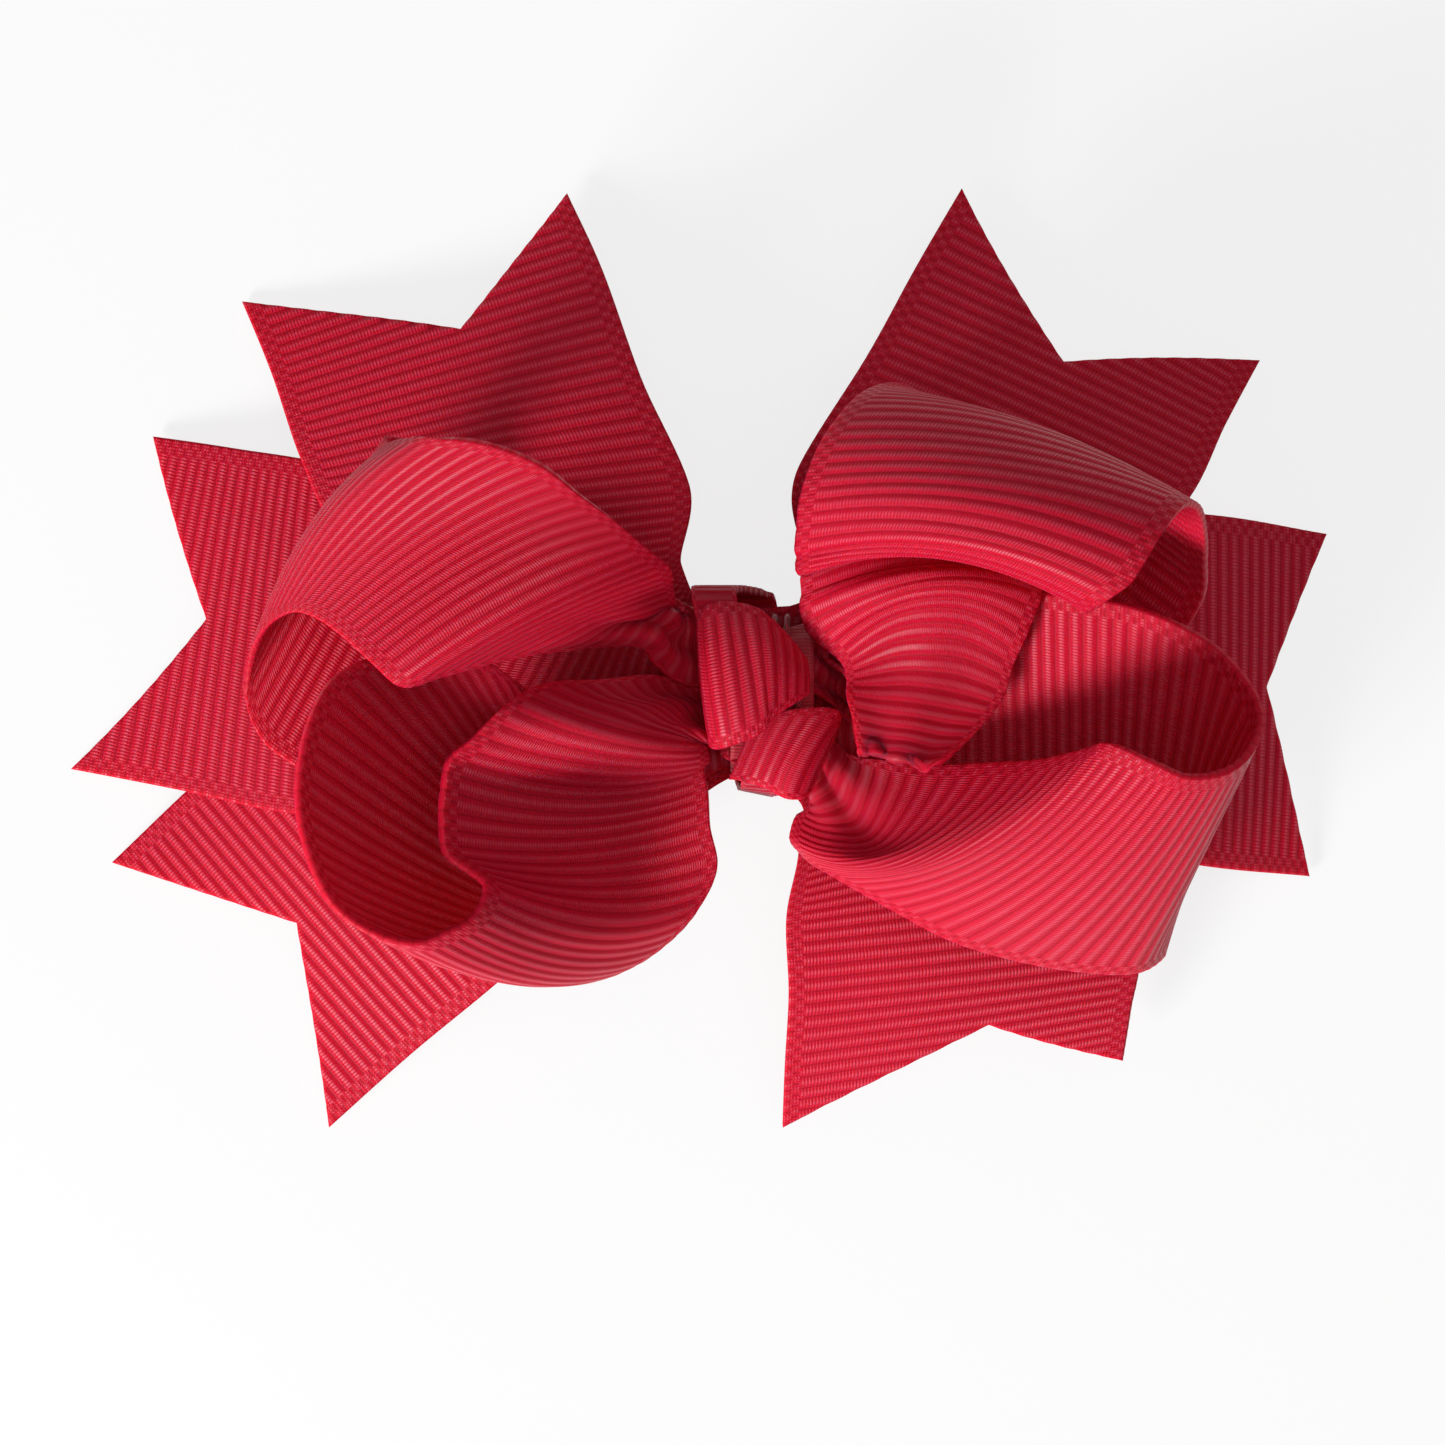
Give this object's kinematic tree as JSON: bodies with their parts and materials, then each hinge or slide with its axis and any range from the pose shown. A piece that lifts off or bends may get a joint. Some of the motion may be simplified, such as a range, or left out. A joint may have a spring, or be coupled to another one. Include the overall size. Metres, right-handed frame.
{
  "type": "ribbon gift bow",
  "caption": "Ready-made grosgrain gift bow: puffed ribbon loops over notched strips, drawn in at a knotted centre and glued to a sprung clip that grips wrap, ribbon or hair.",
  "frame": {"origin": "on the table the bow lies on, under the middle of its outline", "axes": "+X to the viewer's right across the bow, +Y to the viewer's up, +Z out of the table towards the viewer"},
  "size_m": [0.0917, 0.0684, 0.0332],
  "materials": {
    "ribbon": "ribbed polyester grosgrain with a soft satin sheen",
    "thread": "twisted polyester thread",
    "glue": "set hot-melt glue",
    "clip_steel": "bright nickel-plated sheet steel",
    "spring_steel": "drawn spring wire"
  },
  "bodies": {
    "bow": {"strip_upper_left_to_lower_right": "ribbon", "strip_left_to_right": "ribbon", "strip_lower_left_to_upper_right": "ribbon", "loop_upper_left": "ribbon", "loop_lower_left": "ribbon", "loop_upper_right": "ribbon", "loop_lower_right": "ribbon", "gathered_waist": "ribbon", "binding_thread": "thread", "centre_knot": "ribbon", "glue_pad": "glue", "clip_lining": "ribbon", "clip_upper_arm": "clip_steel", "clip_pin": "clip_steel", "clip_spring": "spring_steel"},
    "jaw": {"clip_lower_arm": "clip_steel"}
  },
  "joints": [
    {"name": "clip_hinge", "type": "hinge", "parent": "bow", "child": "jaw", "pos_m": [0.0104, -0.0029, 0.0052], "axis": [0, -1, 0], "range_deg": [0, 22], "stiffness_Nm_per_rad": 0.05, "springref_deg": -17.19, "deforming": ["clip_spring"]}
  ]
}
